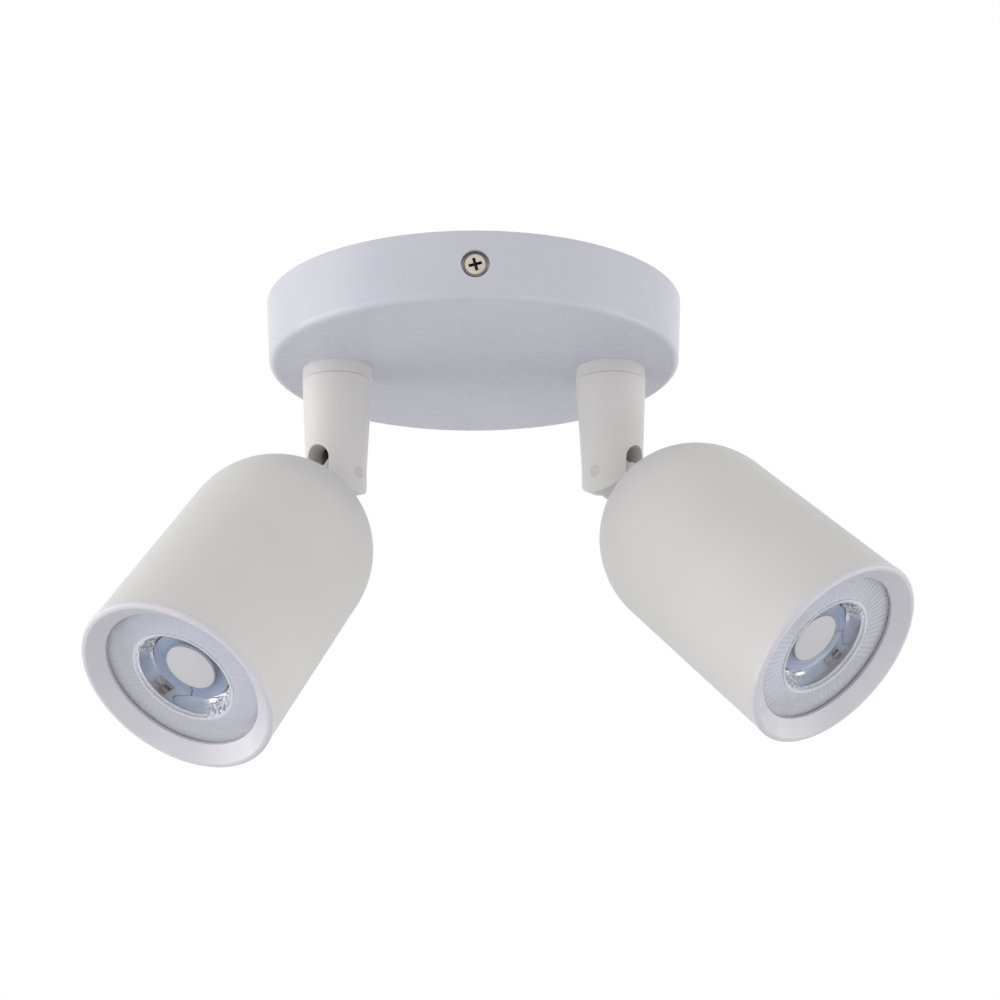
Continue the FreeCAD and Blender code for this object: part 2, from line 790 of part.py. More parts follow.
# ---- lampholder and wires in the head ----
def lampholder():
    """A ceramic body with a pocket for each contact pin and two screw holes."""
    edge = holder_edge_chamfer
    body = along_head([
        (0, holder_back), (holder_radius - edge, holder_back), (holder_radius, holder_back + edge),
        (holder_radius, holder_front - edge), (holder_radius - edge, holder_front), (0, holder_front),
    ])
    pocket_end = -holder_front + holder_pocket_depth
    head_hole_end = -holder_front + holder_screw_head_height + screw_head_gap
    head_hole_radius = holder_screw_head_radius + screw_head_gap
    for x, y in pin_places:
        body = body.cut(upright(holder_pocket_radius, -holder_front, pocket_end, x, y))
        body = body.cut(upright(holder_wire_hole_radius, -holder_front, -holder_back, x, y))
    for x in boss_places:
        body = body.cut(upright(head_hole_radius, -holder_front, head_hole_end, x))
        body = body.cut(upright(holder_screw_radius, -holder_front, -holder_back, x))
    return body


def holder_screws():
    """The two screws that hold the lampholder to the bosses."""
    face = holder_front - screw_head_gap
    shank_length = face - holder_screw_head_height - holder_back + holder_screw_in_boss
    screws = []
    for x in boss_places:
        piece = screw(holder_screw_head_radius, holder_screw_head_height, holder_screw_radius, shank_length)
        piece.rotate(ORIGIN, ALONG_X, 180)
        screws.append(piece.translated(Vector(x, 0, -face)))
    return screws


def head_wires():
    """The same two wires from the tongue to the back of the lampholder."""
    wires = []
    for (pin_x, pin_y), across in zip(pin_places, (-wire_spread, wire_spread)):
        points = [
            Vector(wire_offset, across, -tilt_wire_end),
            Vector(wire_offset, across, -head_wire_straight_end),
            Vector(pin_x, pin_y, -head_wire_turn_end),
            Vector(pin_x, pin_y, -holder_back - head_wire_in_holder),
        ]
        wires.append(wire_along(points, wire_radius, head_wire_bend))
    return wires


# ---- lamp ----
def lamp_shell():
    """The lamp's outer cup, which carries the lens in its rim and stands on the cap."""
    seat = lamp_radius - lamp_wall
    ledge = seat - lamp_wall / 2
    waist = lamp_radius - lamp_waist_inset
    lens_back = lens_ledge + lens_thickness
    return in_lamp([
        (lamp_radius, 0), (lamp_radius, lamp_rim_depth), (waist, lamp_waist_depth),
        (lamp_neck_radius, lamp_neck_depth), (lamp_neck_radius - lamp_wall, lamp_neck_depth),
        (waist - lamp_wall, lamp_waist_depth), (ledge, lamp_rim_depth), (ledge, lens_back),
        (seat, lens_back), (seat, 0),
    ])


def lamp_lens():
    """A clear disc with a recessed bowl in its middle; the bowl's floor holds the frosted disc."""
    edge = lamp_radius - lamp_wall - lens_seat_gap
    back = lens_ledge + lens_thickness
    hole = disc_radius + lens_seat_gap
    rim_inner = lens_rim_radius - lens_rim_width
    floor_back = lens_floor_depth + lens_thickness
    floor_back_radius = lens_floor_radius - lens_thickness / 2
    return in_lamp([
        (edge, lens_ledge), (edge, back), (rim_inner, back), (floor_back_radius, floor_back),
        (hole, floor_back), (hole, lens_floor_depth), (lens_floor_radius, lens_floor_depth),
        (rim_inner, 0), (lens_rim_radius, 0), (lens_rim_radius, lens_ledge),
    ])


def lamp_disc():
    """The frosted disc in the bowl's floor, whose face is slightly domed."""
    edge_level = lens_floor_depth - disc_crown - lens_front
    back_level = edge_level + disc_thickness
    top = (0, edge_level - disc_crown)
    middle = (disc_radius / 2, edge_level - disc_crown * disc_middle_share)
    edge = (disc_radius, edge_level)
    back_edge = (disc_radius, back_level)
    back = (0, back_level)
    edges = [arc(top, middle, edge), line(edge, back_edge), line(back_edge, back), line(back, top)]
    return about_head_axis(turned_edges(edges))


def lamp_board():
    """The round board that carries the light chip and the small electronic parts."""
    back = board_depth + board_thickness
    return in_lamp([(0, board_depth), (board_radius, board_depth), (board_radius, back), (0, back)])


def lamp_chip():
    """The light-emitting chip in the middle of the board."""
    front = board_depth - chip_height
    return in_lamp([(0, front), (chip_radius, front), (chip_radius, board_depth), (0, board_depth)])


def lamp_small_parts(turn):
    """Four small electronic parts, two by two, near the edge of the board."""
    parts = []
    step_out = (small_part_length + small_part_gap) / 2
    step_across = (small_part_width + small_part_gap) / 2
    low = board_depth - small_part_height - lens_front
    for out in (-step_out, step_out):
        for across in (-step_across, step_across):
            x = board_radius - small_part_inset + out
            piece = box(x - small_part_length / 2, x + small_part_length / 2, across - small_part_width / 2,
                        across + small_part_width / 2, low, low + small_part_height)
            piece.rotate(ORIGIN, ALONG_Z, turn)
            parts.append(about_head_axis(piece))
    return parts


def lamp_driver():
    """The tube behind the board that holds the lamp's electronics."""
    start = board_depth + board_thickness
    inner = driver_radius - driver_wall
    return in_lamp([(inner, start), (driver_radius, start), (driver_radius, driver_end), (inner, driver_end)])


def lamp_cap():
    """The lamp's cap: a flange under the neck, a tapered body round the driver tube, two pin holes."""
    flange_end = lamp_neck_depth + lamp_flange_height
    body = in_lamp([
        (driver_radius, lamp_neck_depth), (lamp_neck_radius, lamp_neck_depth),
        (lamp_neck_radius, flange_end), (lamp_cap_radius, flange_end), (lamp_cap_end_radius, lamp_length),
        (0, lamp_length), (0, driver_end), (driver_radius, driver_end),
    ])
    for x, y in pin_places:
        body = body.cut(upright(lamp_pin_radius, -cap_end - lamp_pin_root, -cap_end, x, y))
    return body


def lamp_pins():
    """Two contact pins with a wider head each."""
    stem_end = -cap_end + lamp_pin_stem
    pins = []
    for x, y in pin_places:
        stem = upright(lamp_pin_radius, -cap_end - lamp_pin_root, stem_end, x, y)
        head = upright(lamp_pin_head_radius, stem_end, stem_end + lamp_pin_head_height, x, y)
        pins.append(stem.fuse(head))
    return pins


# ---- write the base ----
save("canopy_cover", canopy_cover())
save("mounting_strap", mounting_strap())
save("cover_screws", *cover_screws())
save("terminal_block", terminal_block())
save("terminal_tubes", *terminal_tubes())
save("terminal_screws", *terminal_screws())
save("block_screw", block_screw())
save("earth_screw", earth_screw())
save("earth_lug", earth_lug())
save("earth_wire", earth_wire())
save("brown_wires", *[port_wire(side, pole_places[0]) for side in SIDES.values()])
save("blue_wires", *[port_wire(side, pole_places[1]) for side in SIDES.values()])
save("swivel_washers", *[swivel_washer(side) for side in SIDES.values()])

# ---- write the two arms and the two heads ----
for name, side in SIDES.items():
    at_arm = arm_frame(side)
    at_head = head_frame(side)
    tilt_angle = right_tilt if side > 0 else left_tilt
    parts_turn = right_small_parts_turn if side > 0 else left_small_parts_turn

    save(f"{name}_canopy_lead", canopy_lead(side))
    save(f"{name}_collar", collar(side))
    save(f"{name}_swivel_tube", swivel_tube(side))
    save(f"{name}_swivel_nut", swivel_nut(side))
    save(f"{name}_arm", placed(arm(), at_arm))
    save(f"{name}_pivot_pin", placed(pivot_pin(), at_arm))
    save(f"{name}_arm_lead", placed(arm_lead(), at_arm))
    save(f"{name}_tilt_wires", *[placed(wire, at_arm) for wire in tilt_wires(tilt_angle)])

    save(f"{name}_housing", placed(housing(), at_head))
    save(f"{name}_bezel", placed(bezel(), at_head))
    save(f"{name}_lampholder", placed(lampholder(), at_head))
    save(f"{name}_holder_screws", *[placed(piece, at_head) for piece in holder_screws()])
    save(f"{name}_head_wires", *[placed(wire, at_head) for wire in head_wires()])
    save(f"{name}_lamp_shell", placed(lamp_shell(), at_head))
    save(f"{name}_lamp_lens", placed(lamp_lens(), at_head))
    save(f"{name}_lamp_disc", placed(lamp_disc(), at_head))
    save(f"{name}_lamp_board", placed(lamp_board(), at_head))
    save(f"{name}_lamp_chip", placed(lamp_chip(), at_head))
    save(f"{name}_lamp_small_parts", *[placed(piece, at_head) for piece in lamp_small_parts(parts_turn)])
    save(f"{name}_lamp_driver", placed(lamp_driver(), at_head))
    save(f"{name}_lamp_cap", placed(lamp_cap(), at_head))
    save(f"{name}_lamp_pins", *[placed(pin, at_head) for pin in lamp_pins()])
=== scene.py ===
# %% [markdown]
# # A twin spotlight, dressed for its portrait
# The lamp comes in as a finished set of solid pieces: a round canopy for the
# ceiling, two arms that turn under it, and two heads that tilt on the arms.
# This lesson gives every piece its surface, swaps a few plain pieces for finer
# ones, and sets up a camera and lights as a product photographer would.

# %% Load the pieces
import json
import math

import bpy
import numpy as np
from mathutils import Matrix, Vector


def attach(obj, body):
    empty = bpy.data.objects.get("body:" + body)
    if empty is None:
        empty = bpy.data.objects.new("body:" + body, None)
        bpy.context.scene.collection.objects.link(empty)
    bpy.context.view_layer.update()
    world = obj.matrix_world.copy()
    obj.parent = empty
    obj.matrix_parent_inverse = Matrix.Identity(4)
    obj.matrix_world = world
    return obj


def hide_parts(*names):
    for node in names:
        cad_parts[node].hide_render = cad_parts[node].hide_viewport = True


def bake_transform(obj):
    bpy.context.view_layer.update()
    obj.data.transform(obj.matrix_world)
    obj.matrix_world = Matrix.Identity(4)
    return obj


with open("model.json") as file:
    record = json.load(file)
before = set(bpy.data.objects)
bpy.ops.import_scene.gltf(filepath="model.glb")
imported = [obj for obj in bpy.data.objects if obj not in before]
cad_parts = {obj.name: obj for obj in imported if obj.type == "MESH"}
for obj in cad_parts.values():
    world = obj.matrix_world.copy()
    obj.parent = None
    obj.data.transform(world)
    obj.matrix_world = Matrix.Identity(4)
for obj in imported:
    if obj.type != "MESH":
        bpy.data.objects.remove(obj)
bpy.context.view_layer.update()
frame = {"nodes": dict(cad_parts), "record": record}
MM = 0.001

# %% [markdown]
# ## The camera
# A long lens far away flattens the heads less than a short one close by, so the
# distance matters as much as the angle. The camera here stands three quarters of
# a metre off, a little below the lamp and looking up. It could be turned with
# angles, but building its three axes by hand shows what an orientation is: where
# right, up and backwards point.

# %% The camera
camera_distance = 768.98 * MM
camera_azimuth, camera_below, camera_roll = (math.radians(a) for a in (-0.381, 20.427, -0.325))
aim = Vector((7.283, 0, -58.188)) * MM
picture_side, focal_pixels = 1000, 2631.54

stand = camera_distance * Vector((
    math.sin(camera_azimuth) * math.cos(camera_below),
    -math.cos(camera_azimuth) * math.cos(camera_below),
    -math.sin(camera_below),
))
forward = (aim - stand).normalized()
level = forward.cross(Vector((0, 0, 1))).normalized()
upward = level.cross(forward)
right = level * math.cos(camera_roll) + upward * math.sin(camera_roll)
up = upward * math.cos(camera_roll) - level * math.sin(camera_roll)

camera = bpy.data.objects.new("camera", bpy.data.cameras.new("camera"))
bpy.context.scene.collection.objects.link(camera)
camera.matrix_world = Matrix.Translation(stand) @ Matrix((right, up, -forward)).transposed().to_4x4()
camera.data.sensor_width = 36
camera.data.lens = focal_pixels / picture_side * camera.data.sensor_width
bpy.context.scene.camera = camera
bpy.context.scene.view_settings.view_transform = "Standard"
print("camera at", [round(value, 4) for value in stand], "lens", round(camera.data.lens, 2))

# %% [markdown]
# ## Building with nodes
# Every finish below is a small graph of nodes. A few helpers keep the graphs
# short: one adds a node and plugs in its inputs, one turns the colour seen on a
# screen into the linear light that a shader wants, one starts a material whose
# plain numbers sit on the shader's own sockets, and the rest do sums and mix.

# %% Node helpers
def add_node(tree, kind, inputs=(), **settings):
    """Adds one node. settings are its options; inputs are numbers, colours or other nodes' outputs."""
    made = tree.nodes.new("ShaderNode" + kind)
    for name, value in settings.items():
        setattr(made, name, value)
    for name, value in dict(inputs).items():
        if isinstance(value, bpy.types.NodeSocket):
            tree.links.new(value, made.inputs[name])
        else:
            made.inputs[name].default_value = value
    return made


def colour(red, green, blue):
    """A screen colour of 0 to 255 as linear light: each value to the power 2.4, straight near black."""
    values = np.array([red, green, blue]) / 255
    linear = np.where(values <= 0.04045, values / 12.92, ((values + 0.055) / 1.055) ** 2.4)
    return (*(float(value) for value in linear), 1.0)


def new_finish(name, **sockets):
    """A material with one shader; sockets are given by name, with underscores for spaces."""
    finish = bpy.data.materials.new(name)
    finish.use_nodes = True
    shader = finish.node_tree.nodes["Principled BSDF"]
    for socket, value in sockets.items():
        shader.inputs[socket.replace("_", " ")].default_value = value
    return finish, finish.node_tree, shader


def math_node(tree, operation, *values, clamp=False):
    """One step of arithmetic on numbers or outputs."""
    return add_node(tree, "Math", dict(enumerate(values)), operation=operation, use_clamp=clamp).outputs[0]


def long_side(tree, across, up):
    """The length of a slanted step: the square root of the sum of both squares."""
    squares = [math_node(tree, "MULTIPLY", value, value) for value in (across, up)]
    return math_node(tree, "SQRT", math_node(tree, "ADD", *squares))


def mix_colours(tree, share, first, second):
    """The first colour where share is 0 and the second where it is 1."""
    return add_node(tree, "Mix", {0: share, 6: first, 7: second}, data_type="RGBA").outputs[2]


print("helpers ready")

# %% [markdown]
# ## Patterns with a size
# A surface looks real when its grain has the right size, so each pattern takes
# millimetres. Object coordinates are metres on the piece itself, and a noise
# node counts its cells per unit, which is why the size is turned upside down.

# %% Pattern helpers
def on_piece(tree, placement=None):
    """Coordinates on the piece; a placement gives them in the frame of a tilted head or a turned arm."""
    own = add_node(tree, "TexCoord").outputs["Object"]
    if placement is None:
        return own
    where = {"Vector": own, "Location": placement.translation, "Rotation": placement.to_euler()}
    return add_node(tree, "Mapping", where, vector_type="TEXTURE").outputs["Vector"]


def noise(tree, size, detail=2.0, stretch=None, placement=None):
    """Cloudy values round one half, in grains of this size; stretch squeezes each axis first."""
    place = on_piece(tree, placement)
    if stretch:
        place = add_node(tree, "VectorMath", {0: place, 1: stretch}, operation="MULTIPLY").outputs[0]
    return add_node(tree, "TexNoise", {"Vector": place, "Scale": 1 / size, "Detail": detail}).outputs["Fac"]


def between(tree, value, low, high, start=0.3, end=0.7):
    """The value of a pattern, spread from start..end to low..high and held there."""
    ends = {"Value": value, 1: start, 2: end, 3: low, 4: high}
    return add_node(tree, "MapRange", ends, clamp=True).outputs[0]


def raise_grain(tree, shader, height, depth):
    """Lights the shader as if its surface rose and fell by this depth with the pattern."""
    bumped = add_node(tree, "Bump", {"Height": height, "Distance": depth, "Strength": 1.0})
    tree.links.new(bumped.outputs[0], shader.inputs["Normal"])


def specks(tree, spacing, radius):
    """1 in rare small dots, 0 elsewhere: the distance to the nearest of scattered points."""
    points = {"Vector": on_piece(tree), "Scale": 1 / spacing}
    distance = add_node(tree, "TexVoronoi", points).outputs["Distance"]
    return between(tree, distance, 1, 0, 0.6 * radius / spacing, radius / spacing)


print("pattern helpers ready")

# %% [markdown]
# ## Which piece has which finish
# The part's record lists a finish for every piece, so the lesson asks it instead
# of repeating the list. A piece keeps its shape, and only its material changes.

# %% Dressing helper
finish_of = {part["node"]: part["material_slot"] for part in frame["record"]["subparts"]}


def dress(slot, finish, only=""):
    """Puts the finish on every loaded piece of that slot whose name starts with only."""
    chosen = [name for name, its in finish_of.items() if its == slot and name.startswith(only)]
    for name in chosen:
        for place in frame["nodes"][name].material_slots:
            place.material = finish
    print(finish.name, "on", len(chosen))


# %% [markdown]
# ## Painted metal
# Spray paint is never quite flat: it has a fine skin like the peel of an orange,
# its shade drifts a little over a hand's width, and a few specks of dust settle
# before it dries. The canopy's paint is a cool satin white, the arms' a warm
# one, and the heads' is warm too and nearly matte. One function makes all three.

# %% Paints
def paint(name, tone, drift_tone, roughness, grain, peel):
    """Two near tones drifting into each other, a grained skin, uneven gloss and rare dust specks."""
    finish, tree, shader = new_finish(name, Specular_IOR_Level=0.5)
    drift = mix_colours(tree, between(tree, noise(tree, 22 * MM), 0, 1), tone, drift_tone)
    dust = math_node(tree, "MULTIPLY", specks(tree, 9 * MM, 0.22 * MM), 0.45)
    tree.links.new(mix_colours(tree, dust, drift, colour(118, 114, 110)), shader.inputs["Base Color"])
    gloss = between(tree, noise(tree, 6 * MM), roughness - 0.03, roughness + 0.03)
    tree.links.new(gloss, shader.inputs["Roughness"])
    raise_grain(tree, shader, noise(tree, grain, detail=3), peel)
    return finish


dress("canopy_paint", paint(
    "canopy_satin_white", colour(205, 206, 215), colour(201, 202, 211), 0.27, 0.9 * MM, 0.0007 * MM))
dress("arm_paint", paint(
    "arm_warm_white", colour(224, 222, 220), colour(221, 219, 216), 0.38, 0.7 * MM, 0.002 * MM))
dress("head_paint", paint(
    "head_matte_white", colour(220, 218, 216), colour(217, 215, 213), 0.55, 0.5 * MM, 0.006 * MM))

# %% [markdown]
# ## Moulded plastic
# The ring in front of each head is moulded from white plastic with a polished
# face, so it is smoother than paint and a little light travels inside it. The
# lamp's own body is a duller white plastic. Both share one recipe.

# %% White plastics
def moulded(name, tone, roughness, glow, grain=1.6 * MM, ripple=0.0012 * MM):
    """A smooth skin with long soft ripples; glow is how much light travels inside."""
    finish, tree, shader = new_finish(name, Subsurface_Weight=glow, Subsurface_Scale=0.6 * MM)
    darker = tuple(0.96 * value for value in tone[:3]) + (1.0,)
    shade = mix_colours(tree, between(tree, noise(tree, 12 * MM), 0, 1), tone, darker)
    tree.links.new(shade, shader.inputs["Base Color"])
    gloss = between(tree, noise(tree, 5 * MM), roughness - 0.03, roughness + 0.04)
    tree.links.new(gloss, shader.inputs["Roughness"])
    raise_grain(tree, shader, noise(tree, grain), ripple)
    return finish


dress("bezel_plastic", moulded("bezel_gloss_white", colour(217, 215, 220), 0.22, 0.15))
dress("lamp_white", moulded("lamp_body_white", colour(205, 205, 208), 0.4, 0.1))
dress("terminal_plastic", moulded("terminal_natural_white", colour(226, 226, 218), 0.5, 0.25))

# %% [markdown]
# ## Metals
# A metal has no colour of its own underneath: it tints what it mirrors. What
# tells metals apart is the tint and the marks of how they were made. Rolled and
# turned metal has fine lines, so the noise is stretched along one direction, and
# a plated screw has a soft, slightly clouded skin.

# %% Metals
def metal(name, tone, roughness, stretch=(1, 1, 1), lines=0.25 * MM, depth=0.001 * MM):
    """A mirror of this tint, roughened by lines stretched along one axis and by cloudy plating."""
    finish, tree, shader = new_finish(name, Metallic=1.0)
    dull = tuple(0.82 * value for value in tone[:3]) + (1.0,)
    shade = mix_colours(tree, between(tree, noise(tree, 3 * MM, detail=4), 0, 1), tone, dull)
    tree.links.new(shade, shader.inputs["Base Color"])
    marks = noise(tree, lines, detail=3, stretch=stretch)
    tree.links.new(between(tree, marks, roughness - 0.06, roughness + 0.08), shader.inputs["Roughness"])
    raise_grain(tree, shader, marks, depth)
    return finish


nickel_tint = colour(206, 199, 183)
dress("screw_nickel", metal("screw_plated_nickel", nickel_tint, 0.3))
dress("zinc_steel", metal("zinc_plated_steel", colour(196, 200, 204), 0.42, stretch=(0.08, 1, 1)))
dress("pin_steel", metal("pin_bright_steel", colour(188, 188, 190), 0.28, stretch=(1, 1, 0.1)))
dress("brass", metal("terminal_brass", colour(222, 188, 104), 0.3, stretch=(1, 0.08, 1)))
dress("tinned_copper", metal("lug_tinned_copper", colour(204, 203, 200), 0.36))

# %% [markdown]
# ## Painted pins and painted shade in the crosses
# Two pieces differ from the rest of their kind. The pins that the heads hang on
# were painted over together with the arms, so that only a faint round shows. In
# the screws at the canopy's side little light reaches the bottom of the cross:
# whatever lies deeper than the screw's face, near its axis, is painted dark as shade.

# %% Pins and cover screws
pin_paint = paint(
    "pin_painted_white", colour(212, 210, 207), colour(208, 206, 203), 0.4, 0.5 * MM, 0.002 * MM)
for side in ("left", "right"):
    dress("pin_steel", pin_paint, only=f"{side}_pivot")

screw_face, screw_level, cross_reach = 58.9 * MM, -9.3 * MM, 2.7 * MM


def darken_cross(finish):
    """Painted shade: dark where y is nearer the middle than the screw's face and the axis is near."""
    tree, shader = finish.node_tree, finish.node_tree.nodes["Principled BSDF"]
    place = add_node(tree, "SeparateXYZ", {0: on_piece(tree)}).outputs
    away = long_side(tree, math_node(tree, "SUBTRACT", place["Z"], screw_level), place["X"])
    depth = math_node(tree, "ABSOLUTE", place["Y"])
    sunk = between(tree, depth, 1, 0, screw_face - 0.35 * MM, screw_face - 0.2 * MM)
    painted_cross_shade = math_node(tree, "MULTIPLY", sunk, math_node(tree, "LESS_THAN", away, cross_reach))
    shade = shader.inputs["Base Color"].links[0].from_socket
    tree.links.new(mix_colours(tree, painted_cross_shade, shade, colour(44, 38, 34)), shader.inputs["Base Color"])


cover_screw_finish = metal("cover_screw_nickel", nickel_tint, 0.3)
darken_cross(cover_screw_finish)
dress("screw_nickel", cover_screw_finish, only="cover_screws")

# %% [markdown]
# ## Ceramic, sleeve and insulation
# The lampholder is unglazed ceramic: chalky, with tiny darker grains. The leads
# run in a braided sleeve, whose weave is two sets of slanting lines. The wires
# are plain coloured plastic, and the earth wire is green with a yellow stripe
# along it, which here follows the way the wire's skin faces.

# %% Ceramic
def ceramic():
    """Chalky white with darker grains under it and a rough skin."""
    finish, tree, shader = new_finish("holder_unglazed_ceramic", Roughness=0.8)
    shade = mix_colours(tree, specks(tree, 1.1 * MM, 0.16 * MM), colour(228, 225, 216), colour(168, 158, 142))
    tree.links.new(shade, shader.inputs["Base Color"])
    raise_grain(tree, shader, noise(tree, 0.3 * MM, detail=4), 0.01 * MM)
    return finish


dress("holder_ceramic", ceramic())


# %% Braided sleeve
def braid():
    """Crossed slanting waves: the sine of height plus a step round, and of height minus it."""
    finish, tree, shader = new_finish("sleeve_white_braid", Roughness=0.7, Sheen_Weight=0.2)
    place = add_node(tree, "SeparateXYZ", {0: on_piece(tree)}).outputs
    around = math_node(tree, "ADD", place["X"], place["Y"])
    waves = []
    for lean in (1.0, -1.0):
        slanted = math_node(tree, "MULTIPLY_ADD", around, lean, place["Z"])
        waves.append(math_node(tree, "SINE", math_node(tree, "MULTIPLY", slanted, 2 * math.pi / (0.9 * MM))))
    weave = math_node(tree, "MULTIPLY", *waves)
    shade = mix_colours(tree, between(tree, weave, 0, 1, -1, 1), colour(205, 203, 196), colour(232, 231, 226))
    tree.links.new(shade, shader.inputs["Base Color"])
    raise_grain(tree, shader, weave, 0.06 * MM)
    return finish


dress("lead_sleeve", braid())


# %% Wire insulation
def insulation(name, tone, stripe=None):
    """Satin plastic, a little uneven; a stripe shows where the skin faces up."""
    finish, tree, shader = new_finish(name, Roughness=0.4)
    darker = tuple(0.8 * value for value in tone[:3]) + (1.0,)
    shade = mix_colours(tree, between(tree, noise(tree, 2 * MM, detail=3), 0, 1), tone, darker)
    if stripe:
        facing = add_node(tree, "SeparateXYZ", {0: add_node(tree, "TexCoord").outputs["Normal"]}).outputs["Z"]
        shade = mix_colours(tree, between(tree, facing, 0, 1, 0.2, 0.3), shade, stripe)
    tree.links.new(shade, shader.inputs["Base Color"])
    raise_grain(tree, shader, noise(tree, 0.4 * MM), 0.004 * MM)
    return finish


dress("brown_insulation", insulation("wire_brown", colour(96, 56, 36)))
dress("blue_insulation", insulation("wire_blue", colour(44, 96, 168)))
dress("earth_insulation", insulation("wire_earth_green", colour(64, 140, 62), colour(226, 206, 60)))

# %% [markdown]
# ## Where the heads are
# Each head hangs from a pin under its arm. Two turns bring it to where it looks:
# the arm pans about the vertical, then the head tilts about the pin. Writing that
# down once as a matrix lets every later shape be drawn as if its head hung
# straight, which is far easier to think about.

# %% Placements of the arms and heads
pivot_side, pivot_drop = 39.5 * MM, 51.5 * MM
pan = {"left": -39.5, "right": 52.0}
tilt = {"left": 39.5, "right": 47.5}
lamp_axis = 1.8 * MM
lens_front = 90.0 * MM
parts_turn = {"left": -108.0, "right": 104.0}

arm_place, head_place = {}, {}
for side, sign in (("left", -1), ("right", 1)):
    pivot = Matrix.Translation((sign * pivot_side, 0, -pivot_drop))
    arm_place[side] = pivot @ Matrix.Rotation(math.radians(pan[side] - 90), 4, "Z")
    head_place[side] = arm_place[side] @ Matrix.Rotation(math.radians(-tilt[side]), 4, "Y")
    facing = -head_place[side].col[2].xyz
    print(side, "head looks along", [round(value, 3) for value in facing])


def moved(points, placement):
    """The same points after the placement: each turned by its matrix, then shifted."""
    matrix = np.array(placement)
    return points @ matrix[:3, :3].T + matrix[:3, 3]


# %% [markdown]
# ## From a formula to a mesh
# A new piece is a grid of points worked out by a formula of two numbers, such as
# the way round and the way along. Neighbouring points make square faces. The
# signed volume of a closed shape shows at once whether its faces look outwards,
# and a negative one means that they all have to be turned over.

# %% Mesh helper
def surface(name, grid, finishes, ring=False, uv=None, finish_rows=None, sharp=35):
    """A closed mesh from a grid of rows x columns x 3 points whose columns meet end to end.
    ring joins the last row to the first; without it both end rows are filled in.
    uv gives each grid corner its two pattern values, with one more row and column than faces need."""
    rows, columns = grid.shape[:2]
    index = np.arange(rows * columns).reshape(rows, columns)
    upper, lower = (index, np.roll(index, -1, 0)) if ring else (index[:-1], index[1:])
    quads = np.stack([upper, lower, np.roll(lower, -1, 1), np.roll(upper, -1, 1)], -1).reshape(-1, 4)
    points = grid.reshape(-1, 3)
    corners = points[quads]
    middle = points.mean(0)
    halves = corners[:, [[0, 1, 2], [0, 2, 3]]] - middle
    volume = np.einsum("fti,fti->", halves[:, :, 0], np.cross(halves[:, :, 1], halves[:, :, 2])) / 6
    faces = quads.tolist() + ([] if ring else [index[0][::-1].tolist(), index[-1].tolist()])
    if volume < 0:
        faces = [face[::-1] for face in faces]
    mesh = bpy.data.meshes.new(name)
    mesh.from_pydata(points.tolist(), [], faces)
    mesh.shade_smooth()
    mesh.set_sharp_from_angle(angle=math.radians(sharp))
    for finish in finishes:
        mesh.materials.append(finish)
    if finish_rows is not None:
        chosen = np.zeros(len(faces), int)
        chosen[:len(quads)] = np.repeat(finish_rows, columns)
        chosen[len(quads):] = [finish_rows[0], finish_rows[-1]][:len(faces) - len(quads)]
        mesh.polygons.foreach_set("material_index", chosen)
    if uv is not None:
        across, down = np.meshgrid(np.arange(columns), np.arange(len(quads) // columns))
        steps = [(0, 0), (1, 0), (1, 1), (0, 1)]
        values = np.stack([uv[down + one, across + two] for one, two in steps], -2).reshape(-1, 4, 2)
        if volume < 0:
            values = values[:, ::-1]
        mesh.uv_layers.new(name="turn_and_radius").data.foreach_set("uv", values.reshape(-1))
    piece = bpy.data.objects.new(name, mesh)
    bpy.context.scene.collection.objects.link(piece)
    print(name, len(faces), "faces,", round(abs(volume) * 1e9, 1), "cubic mm")
    return piece


# %% [markdown]
# ## The lens's outline
# The lamp's front is one clear moulding. From the edge inwards it is a flat band
# with fine ribs, a raised ring, a steep bowl wall covered with tiny lenses, and a
# flat floor with a hole for the frosted disc. All of that is one outline, given
# as radius and depth behind the lamp's front, carried once round the lamp.

# %% Outline of the lens
def stretch_of(start, end, count):
    """Evenly spaced steps from one outline corner up to, but not onto, the next."""
    return np.linspace(start, end, count, endpoint=False)


outline_corners = [
    ((23.65, 0.3), 1), ((23.65, 1.5), 10), ((14.0, 1.5), 8), ((10.9, 5.2), 5), ((7.15, 5.2), 2),
    ((7.15, 4.7), 20), ((11.5, 4.7), 36), ((14.0, 0.15), 2), ((14.15, 0.0), 3), ((14.75, 0.0), 2),
    ((14.9, 0.15), 2), ((15.0, 0.3), 34),
]
places = [np.array(place) for place, _ in outline_corners]
outline = np.concatenate([
    stretch_of(place, places[(number + 1) % len(places)], outline_corners[number][1])
    for number, place in enumerate(places)
])
zones = np.concatenate([np.full(count, number) for number, (_, count) in enumerate(outline_corners)])
print("outline of", len(outline), "points")

# %% [markdown]
# ## Ribs, rings and tiny lenses
# Waves shape the clear surface. Ribs are a wave in the way round; rings are a
# wave in the radius; and the tiny lenses on the bowl's wall are the two
# multiplied, which gives staggered bumps like a pineapple's skin. The waves fade
# in and out so that they never break the outline's corners, and the wall stays
# smooth in front of the board's small parts, where one looks straight through.

# %% Shape of the lens
rib_count, lens_rows, steps_round = 72, 7, 576
on_floor, on_bowl_wall, on_raised_ring, on_band = 5, 6, 8, 11
bowl_wall_depth = 4.55
wall_out, wall_forward = 0.88, 0.47


def fade(value, low, high, soft):
    """0 outside low..high, 1 inside, rising over the soft width."""
    return np.clip((value - low) / soft, 0, 1) * np.clip((high - value) / soft, 0, 1)


def ring_wave(radius, start, length):
    """A wave outwards along the radius, counted from its first crest."""
    return np.cos((radius - start) * 2 * np.pi / length)


